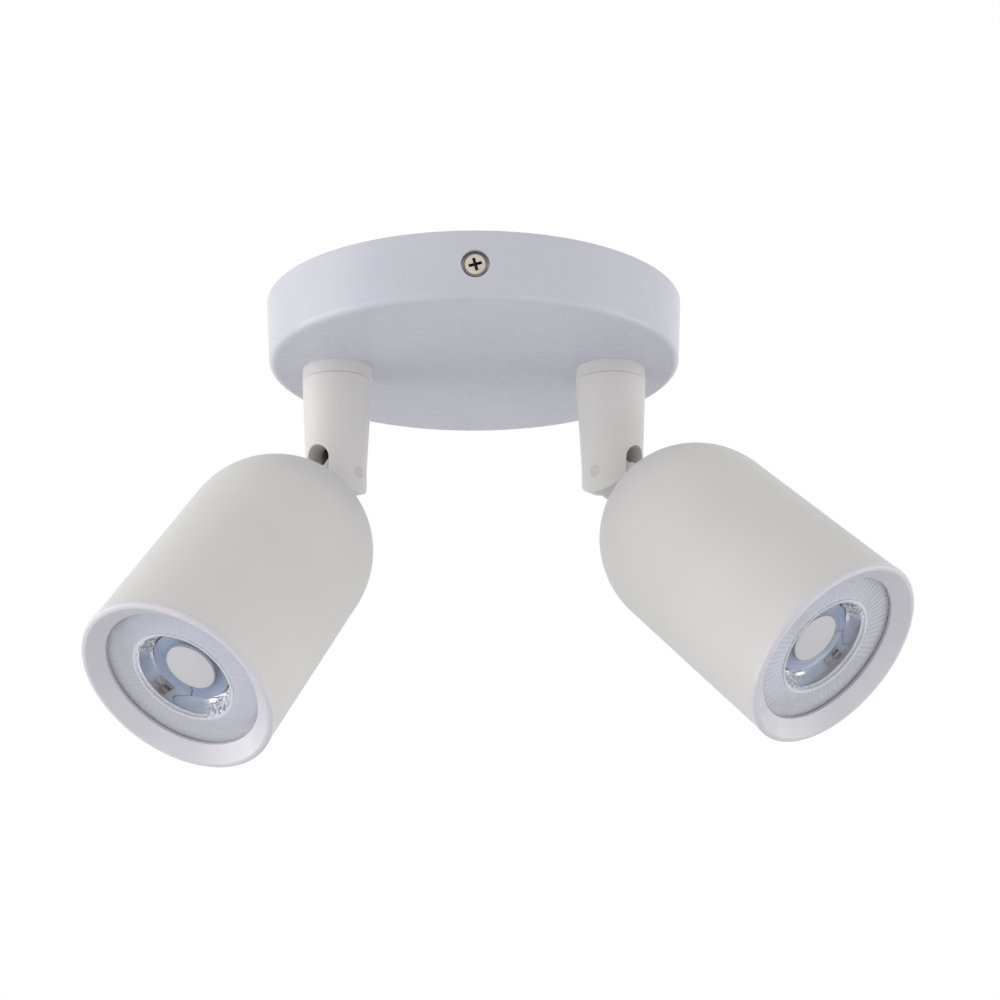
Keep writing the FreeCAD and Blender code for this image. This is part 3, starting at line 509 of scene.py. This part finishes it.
def lens_grid(side):
    """Point = outline(t) turned by a, plus waves: rib cos(72 a), ring cos(k r), wall cos(72 a) cos(m t)."""
    angle = np.arange(steps_round) / steps_round * 2 * np.pi
    radius, depth = np.repeat(outline[:, :1], steps_round, 1), np.repeat(outline[:, 1:], steps_round, 1)
    ribs = np.cos(rib_count * angle)[None, :]
    band, wall, floor, top = (
        (zones == zone)[:, None] for zone in (on_band, on_bowl_wall, on_floor, on_raised_ring))
    share = (outline[:, 1] / bowl_wall_depth)[:, None]
    bumps = 0.11 * ribs * np.cos(np.pi * lens_rows * share) * fade(share, 0.0, 1.04, 0.08) * wall
    depth = depth + 0.045 * ribs * fade(radius, 15.2, 22.6, 0.5) * band
    depth = depth + 0.05 * ring_wave(radius, 20.6, 0.75) * fade(radius, 20.6, 22.9, 0.3) * band
    depth = depth + 0.07 * ring_wave(radius, 7.6, 1.2) * fade(radius, 7.5, 11.2, 0.4) * floor
    depth = depth + 0.05 * ribs * top
    beside_parts = np.cos(angle - math.radians(parts_turn[side]))
    bumps = bumps * np.clip((0.6 - beside_parts) / 0.4, 0, 1)
    radius, depth = radius - wall_out * bumps, depth - wall_forward * bumps
    return np.stack([
        lamp_axis + MM * radius * np.cos(angle), MM * radius * np.sin(angle), MM * depth - lens_front,
    ], -1)


uv_reach = 25
turns = np.linspace(0, 1, steps_round + 1)
turn_and_radius = np.stack(np.broadcast_arrays(
    turns[None, :], np.append(outline[:, 0], outline[0, 0])[:, None] / uv_reach), -1)
print("lens grid", lens_grid("left").shape)

# %% [markdown]
# ## Clear plastic
# A clear moulding bends what lies behind it and mirrors what is in front. Real
# bending costs light: lamps would hardly reach the board inside. So for shadows
# and for light bounced off the board, the moulding is simply see-through, and
# only the camera and mirrors see it bend light. The plastic is a touch milky,
# most of all on the raised ring. Every tiny lens of the wall would catch a
# different reflection, so glints are painted: a random number for each one makes
# some of them milky bright and some painted dark grey.

# %% Clear moulding
ring_middle, bowl_edge = 14.45, 11.6
wall_middle, wall_half = 12.8, 1.2
facet_height, facets_round = 0.36, 144


def clear_plastic(side):
    """Bending plastic; the wall's cells are whole numbers of radius and turn, each with its own chance."""
    finish, tree, shader = new_finish(f"{side}_lens_clear_plastic", IOR=1.49)
    turn_radius = add_node(tree, "SeparateXYZ", {0: add_node(tree, "UVMap").outputs[0]}).outputs
    radius = math_node(tree, "MULTIPLY", turn_radius["Y"], uv_reach)

    row = math_node(tree, "FLOOR", math_node(tree, "DIVIDE", radius, facet_height))
    stagger = math_node(tree, "MULTIPLY", row, 0.5)
    column = math_node(tree, "FLOOR", math_node(
        tree, "MULTIPLY_ADD", turn_radius["X"], facets_round, stagger))
    cell = add_node(tree, "CombineXYZ", {0: column, 1: row}).outputs[0]
    chance = add_node(tree, "TexWhiteNoise", {"Vector": cell}, noise_dimensions="2D").outputs["Value"]

    off_wall = math_node(tree, "ABSOLUTE", math_node(tree, "SUBTRACT", radius, wall_middle))
    whole_wall = math_node(tree, "LESS_THAN", off_wall, wall_half)
    past_parts = math_node(tree, "SUBTRACT", turn_radius["X"], parts_turn[side] / 360)
    beside_parts = math_node(tree, "COSINE", math_node(tree, "MULTIPLY", past_parts, 2 * math.pi))
    window = math_node(tree, "MULTIPLY", whole_wall, between(tree, beside_parts, 0, 1, 0.2, 0.6))
    on_wall = math_node(tree, "SUBTRACT", whole_wall, window)
    # Painted glints: cells of the wall with a high chance turn milky bright, and cells with a low one are
    # painted dark grey as reflections.
    bright = math_node(tree, "MULTIPLY", math_node(tree, "GREATER_THAN", chance, 0.7), on_wall)
    dark = math_node(tree, "MULTIPLY", math_node(tree, "LESS_THAN", chance, 0.3), on_wall)

    off_ring = math_node(tree, "ABSOLUTE", math_node(tree, "SUBTRACT", radius, ring_middle))
    milky = between(tree, off_ring, 0.5, 0.3, 0.35, 0.6)
    milky = math_node(tree, "MULTIPLY", milky, math_node(tree, "GREATER_THAN", radius, bowl_edge))
    milky = math_node(tree, "MULTIPLY", milky, math_node(tree, "SUBTRACT", 1, window))
    milky = math_node(tree, "MULTIPLY_ADD", bright, 0.45, milky, clamp=True)
    on_bowl_floor = math_node(tree, "LESS_THAN", radius, bowl_edge)
    tone = mix_colours(tree, on_bowl_floor, colour(240, 240, 243), colour(234, 239, 247))
    # Painted dark reflections: the low-chance cells of the wall take a dark grey.
    tone = mix_colours(tree, math_node(tree, "MULTIPLY", dark, 0.8), tone, colour(92, 98, 110))
    tree.links.new(tone, shader.inputs["Base Color"])
    tree.links.new(math_node(tree, "SUBTRACT", 1, milky), shader.inputs["Transmission Weight"])
    tree.links.new(between(tree, off_ring, 0.3, 0.12, 0.5, 1.5), shader.inputs["Roughness"])
    raise_grain(tree, shader, noise(tree, 1.2 * MM), 0.002 * MM)

    rays = add_node(tree, "LightPath").outputs
    open_to = math_node(tree, "MAXIMUM", rays["Is Shadow Ray"], rays["Is Diffuse Ray"])
    passing = add_node(tree, "BsdfTransparent", {0: colour(242, 244, 248)})
    mixed = add_node(tree, "MixShader", {0: open_to, 1: shader.outputs[0], 2: passing.outputs[0]})
    tree.links.new(mixed.outputs[0], tree.nodes["Material Output"].inputs["Surface"])
    return finish


for side in ("left", "right"):
    points = moved(lens_grid(side), head_place[side])
    lens = surface(f"{side}_lens_moulding", points, [clear_plastic(side)], ring=True, uv=turn_and_radius)
    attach(lens, f"{side}_head")
    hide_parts(f"{side}_lamp_lens")

# %% [markdown]
# ## The frosted disc
# The disc in the middle spreads the chip's light. Its shape is a low dome turned
# once round the lamp's axis. Its face is covered with a grid of dots too fine to
# count, which is a product of two waves, and a soft glow inside keeps it lighter
# than the board round it.

# %% Frosted disc
def frosted(side):
    """Milky plastic with dots: the sine of x times the sine of y, in the head's own frame."""
    finish, tree, shader = new_finish(
        f"{side}_disc_frosted", Subsurface_Weight=0.3, Subsurface_Scale=0.8 * MM, Roughness=0.5)
    place = add_node(tree, "SeparateXYZ", {0: on_piece(tree, head_place[side])}).outputs
    waves = [math_node(tree, "SINE", math_node(tree, "MULTIPLY", place[axis], 2 * math.pi / (0.46 * MM)))
             for axis in "XY"]
    dots = math_node(tree, "MULTIPLY", *waves)
    shade = mix_colours(tree, between(tree, dots, 0, 1, -1, 1), colour(194, 194, 197), colour(224, 223, 221))
    tree.links.new(shade, shader.inputs["Base Color"])
    raise_grain(tree, shader, dots, 0.02 * MM)
    return finish


# %% Shape of the disc
disc_radius, disc_rows, disc_steps = 7.1, 24, 96
disc_edge, disc_crown, disc_back = 4.2, 0.5, 5.3


def disc_grid():
    """Front: depth = 4.2 - 0.5 (1 - (r / 7.1)^2); then straight back to 5.3 and in to the middle again."""
    angle = np.arange(disc_steps) / disc_steps * 2 * np.pi
    out = np.linspace(0.05, disc_radius, disc_rows)
    side_out = [disc_radius - 0.02, disc_radius, disc_radius - 0.02]
    side_depth = [disc_edge + 0.05, disc_edge + 0.1, disc_back - 0.02]
    front = disc_edge - disc_crown * (1 - (out / disc_radius) ** 2)
    back_out = out[::-4]
    radius = np.concatenate([out, side_out, back_out])[:, None]
    depth = np.concatenate([front, side_depth, np.full(len(back_out), disc_back)])[:, None]
    return np.stack(np.broadcast_arrays(
        lamp_axis + MM * radius * np.cos(angle), MM * radius * np.sin(angle), MM * depth - lens_front), -1)


for side in ("left", "right"):
    disc = surface(f"{side}_lens_disc", moved(disc_grid(), head_place[side]), [frosted(side)])
    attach(disc, f"{side}_head")
    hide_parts(f"{side}_lamp_disc")

# %% [markdown]
# ## The board and its chip
# Behind the lens lies a round board with a pale blue coating. Thin dark tracks
# run on it: one swings from the middle out to the edge. A track is a place where
# the way round, minus a curve that depends on the radius, is nearly nothing.

# %% Board
track_turn = -24.0


def board(side):
    """Pale blue coating, a dark track that swings by a sine of the radius, and fine grain."""
    finish, tree, shader = new_finish(f"{side}_board_coating", Roughness=0.35)
    place = add_node(tree, "SeparateXYZ", {0: on_piece(tree, head_place[side])}).outputs
    x = math_node(tree, "SUBTRACT", place["X"], lamp_axis)
    radius = long_side(tree, x, place["Y"])
    start = math.radians(parts_turn[side] + track_turn)
    swing = math_node(tree, "SINE", math_node(tree, "MULTIPLY", radius, 2 * math.pi / (15 * MM)))
    bend = math_node(tree, "MULTIPLY_ADD", swing, 0.16, start)
    away = math_node(tree, "ABSOLUTE", math_node(
        tree, "SUBTRACT", math_node(tree, "ARCTAN2", place["Y"], x), bend))
    width = math_node(tree, "MULTIPLY", away, radius)
    track = between(tree, width, 0.85, 0, 0.18 * MM, 0.34 * MM)
    cloudy = between(tree, noise(tree, 5 * MM), 0, 1)
    shade = mix_colours(tree, cloudy, colour(190, 198, 210), colour(178, 188, 203))
    shade = mix_colours(tree, track, shade, colour(62, 76, 96))
    tree.links.new(shade, shader.inputs["Base Color"])
    raise_grain(tree, shader, noise(tree, 0.5 * MM, detail=3), 0.01 * MM)
    return finish


for side in ("left", "right"):
    dress("board_coating", board(side), only=side)


# %% Chip
def phosphor():
    """Yellow resin over the chip, grainy and soft."""
    finish, tree, shader = new_finish(
        "chip_yellow_phosphor", Roughness=0.45, Subsurface_Weight=0.2, Subsurface_Scale=0.4 * MM)
    shade = mix_colours(tree, between(tree, noise(tree, 0.6 * MM, detail=3), 0, 1),
                        colour(236, 190, 96), colour(222, 160, 70))
    tree.links.new(shade, shader.inputs["Base Color"])
    raise_grain(tree, shader, noise(tree, 0.3 * MM), 0.01 * MM)
    return finish


dress("chip_phosphor", phosphor())

# %% [markdown]
# ## The small parts on the board
# Four tiny blocks stand two by two near the board's edge. Each is a fired body
# with a metal cap on either end. A block is a rounded square carried along its
# length: the square swells a little where the caps are and draws in at the very
# ends. Rows of the grid then say which faces are metal and which are body.

# %% Shape of a block
block_along = np.array([-1.5, -1.5, -1.47, -1.38, -0.86, -0.84, 0.84, 0.86, 1.38, 1.47, 1.5, 1.5]) * MM
block_swell = np.array([0.0, 0.86, 0.96, 1.0, 1.0, 0.93, 0.93, 1.0, 1.0, 0.96, 0.86, 0.0])
block_is_metal = np.array([1, 1, 1, 1, 1, 0, 1, 1, 1, 1, 1])
block_half_width, block_half_height, block_depth = 1.2 * MM, 0.4 * MM, 5.8 * MM
blocks_out, blocks_across = (15.325 * MM, 18.675 * MM), (-1.375 * MM, 1.375 * MM)


def block_grid(out, across, turn):
    """Ring k = rounded square (cos a, sin a each to the power 0.35) times swell k, at length k."""
    angle = np.arange(24) / 24 * 2 * np.pi
    side_way, top_way = (np.sign(wave) * np.abs(wave) ** 0.35 for wave in (np.cos(angle), np.sin(angle)))
    swell = np.maximum(block_swell, 0.02)[:, None]
    x = out + block_along[:, None] + 0 * angle
    y = across + block_half_width * swell * side_way
    z = block_half_height * swell * top_way + block_depth - lens_front
    c, s = math.cos(turn), math.sin(turn)
    return np.stack([lamp_axis + c * x - s * y, s * x + c * y, z + 0 * x], -1)


print("block grid", block_grid(0, 0, 0).shape)


# %% The eight blocks
def fired_body(name, tone):
    """Dense dark or pale ceramic with a slightly glassy top."""
    finish, tree, shader = new_finish(name, Roughness=0.3)
    darker = tuple(0.7 * value for value in tone[:3]) + (1.0,)
    shade = mix_colours(tree, between(tree, noise(tree, 0.5 * MM, detail=3), 0, 1), tone, darker)
    tree.links.new(shade, shader.inputs["Base Color"])
    raise_grain(tree, shader, noise(tree, 0.2 * MM), 0.006 * MM)
    return finish


body_finishes = [
    fired_body("block_black", colour(30, 28, 28)), fired_body("block_grey", colour(186, 184, 180)),
    fired_body("block_brown", colour(132, 84, 44)), fired_body("block_pale_grey", colour(172, 170, 167)),
]
cap_finish = metal("block_tin_cap", colour(214, 210, 204), 0.24)
for side in ("left", "right"):
    turn = math.radians(parts_turn[side])
    number = 0
    for out in blocks_out:
        for across in blocks_across:
            grid = moved(block_grid(out, across, turn), head_place[side])
            block = surface(f"{side}_board_block_{number + 1}", grid, [body_finishes[number], cap_finish],
                            finish_rows=block_is_metal, sharp=50)
            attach(block, f"{side}_head")
            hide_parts(f"{side}_lamp_small_parts")
            number += 1

# %% [markdown]
# ## The wires across the hinge
# Two wires come down the arm, bend over the pin and run on into the head. They
# are the one thing that must flex when the head tilts. Each is a circle carried
# along a path of line, curve and line, which swells outwards in its middle as a
# slack wire does.

# %% Shape of a hinge wire
wire_radius, wire_apart, wire_bend = 0.8 * MM, 0.85 * MM, 8 * MM
wire_top, wire_over_pin, wire_end = 15 * MM, 4.55 * MM, 7 * MM
wire_swell = 1.8 * MM


def wire_grid(lean, across):
    """A circle about each point of a path: down the arm, a parabola round the corner, into the head."""
    along_head = np.array([math.sin(lean), 0, -math.cos(lean)])
    off_head = np.array([math.cos(lean), 0, math.sin(lean)])
    start = np.array([0, 0, wire_top])
    corner = np.array([0, 0, wire_over_pin / math.sin(lean)])
    end = wire_end * along_head + wire_over_pin * off_head
    reach = wire_bend * math.tan(lean / 2)
    enter = corner + np.array([0, 0, reach])
    leave = corner + reach * along_head
    share = np.linspace(0, 1, 25)[:, None]
    curve = (1 - share) ** 2 * enter + 2 * share * (1 - share) * corner + share ** 2 * leave
    path = np.concatenate([np.linspace(start, enter, 8)[:-1], curve, np.linspace(leave, end, 8)[1:]])
    swell = np.sin(np.pi * np.linspace(0, 1, len(path)))[:, None] ** 2
    path += wire_swell * swell * off_head
    ahead = np.gradient(path, axis=0)
    ahead /= np.linalg.norm(ahead, axis=1)[:, None]
    side_way = np.array([0.0, 1.0, 0.0])
    out_way = np.cross(ahead, side_way)
    angle = np.arange(20) / 20 * 2 * np.pi
    circle = np.cos(angle)[None, :, None] * side_way + np.sin(angle)[None, :, None] * out_way[:, None, :]
    grid = path[:, None, :] + wire_radius * circle + across * side_way
    return grid, enter, leave


print("wire grid", wire_grid(0.8, 0)[0].shape)

# %% The hinge wires
wire_finishes = {"brown": insulation("hinge_wire_brown", colour(92, 44, 40)),
                 "black": insulation("hinge_wire_black", colour(38, 36, 35))}
for side in ("left", "right"):
    for name, across in (("brown", wire_apart), ("black", -wire_apart)):
        grid, enter, leave = wire_grid(math.radians(tilt[side]), across)
        wire = surface(f"{side}_hinge_wire_{name}", moved(grid, arm_place[side]), [wire_finishes[name]])
        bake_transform(wire)
        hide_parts(f"{side}_tilt_wires")

# %% [markdown]
# Inside the head the same two wires run on to the lampholder. Those are loaded
# pieces, so their two colours come from the side of the head that they are on.

# %% Wires inside the heads
def paired_wires(side):
    """Brown on one side of the head's middle and black on the other."""
    finish, tree, shader = new_finish(f"{side}_head_wires", Roughness=0.4)
    y = add_node(tree, "SeparateXYZ", {0: on_piece(tree, head_place[side])}).outputs["Y"]
    tone = mix_colours(tree, math_node(tree, "GREATER_THAN", y, 0.0), colour(38, 36, 35), colour(92, 44, 40))
    cloudy = between(tree, noise(tree, 2 * MM), 0, 0.25)
    tree.links.new(mix_colours(tree, cloudy, tone, colour(20, 18, 18)), shader.inputs["Base Color"])
    return finish


for side in ("left", "right"):
    dress("lamp_wire", paired_wires(side), only=f"{side}_head")

# %% [markdown]
# ## A white room
# Product photographers hang a white lamp in a white room: the background is
# plain white, and large soft lights stand at its sides. The world here is white
# wherever the camera, a mirror or clear plastic looks at it, but lights the
# pieces only at a plain level, so that the white paint keeps its shading.

# %% World
room_light = 0.723

world = bpy.data.worlds.new("white_room")
bpy.context.scene.world = world
world.use_nodes = True
tree = world.node_tree
tree.nodes.clear()
rays = add_node(tree, "LightPath").outputs
seen = math_node(tree, "MAXIMUM", rays["Is Camera Ray"], rays["Is Glossy Ray"])
seen = math_node(tree, "MAXIMUM", seen, rays["Is Transmission Ray"])
lighting = add_node(tree, "Background", {"Color": (1, 1, 1, 1), "Strength": room_light})
backdrop = add_node(tree, "Background", {"Color": (1, 1, 1, 1), "Strength": 1.0})
either = add_node(tree, "MixShader", {0: seen, 1: lighting.outputs[0], 2: backdrop.outputs[0]})
tree.links.new(either.outputs[0], add_node(tree, "OutputWorld").inputs["Surface"])
print("world lights at", room_light)


# %% Floor
def floor_finish():
    """Pale grey matte board with the faintest cloudiness."""
    finish, tree, shader = new_finish("floor_pale", Roughness=0.9)
    shade = mix_colours(tree, noise(tree, 400 * MM), colour(202, 202, 206), colour(198, 198, 202))
    tree.links.new(shade, shader.inputs["Base Color"])
    return finish


def floor_sheet(half, level):
    """Four corners of a level square at this height."""
    mesh = bpy.data.meshes.new("floor")
    mesh.from_pydata([(-half, -half, level), (half, -half, level), (half, half, level), (-half, half, level)],
                     [], [(0, 1, 2, 3)])
    mesh.materials.append(floor_finish())
    sheet = bpy.data.objects.new("floor", mesh)
    bpy.context.scene.collection.objects.link(sheet)
    return sheet


floor_sheet(4.0, -1.2)
print("floor laid")

# %% [markdown]
# ## The lights
# Big lights close by give soft edges between light and shade. Each is placed by
# its compass direction, its height angle and its distance, and turned to face
# the lamp. Their strengths were found by rendering many lights one at a time and
# asking which mix of those pictures comes nearest to the photograph.

# %% Lights
lights = {  # name: compass and height in degrees, distance and size in metres, power in watts
    "left_low": (-90, -15, 1.1, 0.9, 4.25),
    "left_high": (-90, 15, 1.1, 0.9, 1.35),
    "right_low": (90, -15, 1.1, 0.9, 2.86),
    "front_left": (-45, -15, 1.1, 0.9, 1.54),
    "under_left": (-45, -45, 1.1, 0.9, 0.47),
    "under_right": (45, -45, 1.1, 0.9, 1.81),
}
centre = Vector((0, 0, -70)) * MM
for name, (compass, height, away, size, power) in lights.items():
    light = bpy.data.lights.new(name, "AREA")
    light.size, light.energy = size, power
    lamp = bpy.data.objects.new(name, light)
    bpy.context.scene.collection.objects.link(lamp)
    compass, height = math.radians(compass), math.radians(height)
    level_part = math.cos(height)
    out = Vector((math.sin(compass) * level_part, -math.cos(compass) * level_part, math.sin(height)))
    lamp.location = centre + away * out
    lamp.rotation_mode = "QUATERNION"
    lamp.rotation_quaternion = out.to_track_quat("Z", "Y")
print(len(lights), "lights")

# %% [markdown]
# ## Finish

# %% Finish
print("scene dressed")
